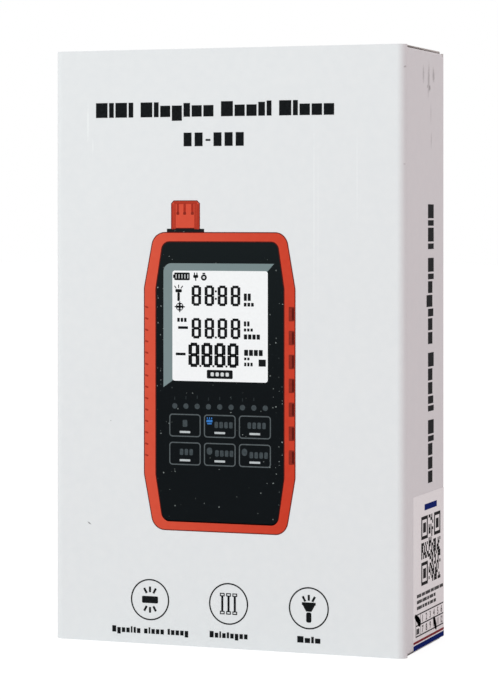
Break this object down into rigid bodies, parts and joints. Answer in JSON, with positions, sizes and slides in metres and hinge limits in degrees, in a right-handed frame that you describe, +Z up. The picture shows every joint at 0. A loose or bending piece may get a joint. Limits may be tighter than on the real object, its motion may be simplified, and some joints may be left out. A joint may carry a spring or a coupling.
{
  "type": "printed folding carton for a handheld instrument",
  "caption": "Upright white folding carton, straight tuck ends with hinged tuck flaps and dust flaps, printed front and spine, wrap-round label.",
  "frame": {"origin": "middle of the base, on the surface that the carton stands on", "axes": "+Z up, the front panel faces -Y, +X towards the labelled side panel"},
  "size_m": [0.1121, 0.0432, 0.18],
  "materials": {
    "board": "white-lined folding box board, coated and matt varnished",
    "black_ink": "black offset print",
    "red_ink": "orange-red offset print",
    "grey_ink": "grey-green offset print",
    "pale_ink": "pale grey offset print",
    "label_paper": "white self-adhesive label paper",
    "stripe_ink": "dark red print",
    "blue_ink": "dark blue print"
  },
  "bodies": {
    "carton": {"carton_body": "board", "front_type": "black_ink", "captions": "black_ink", "icons": "black_ink", "picture_case": "red_ink", "picture_face": "black_ink", "picture_bezel": "grey_ink", "picture_screen": "pale_ink", "picture_keys": "grey_ink", "spine_type": "black_ink", "label": "label_paper", "label_red_stripe": "stripe_ink", "label_blue_band": "blue_ink", "label_code": "black_ink", "label_lines": "black_ink", "label_head_bar": "blue_ink"},
    "top_flap": {"top_tuck_flap": "board"},
    "bottom_flap": {"bottom_tuck_flap": "board"}
  },
  "joints": [
    {"name": "top_crease", "type": "hinge", "parent": "carton", "child": "top_flap", "pos_m": [0, 0.0212, 0.1797], "axis": [-1, 0, 0], "range_deg": [0, 180]},
    {"name": "bottom_crease", "type": "hinge", "parent": "carton", "child": "bottom_flap", "pos_m": [0, 0.0212, 0.0003], "axis": [1, 0, 0], "range_deg": [0, 180]}
  ]
}
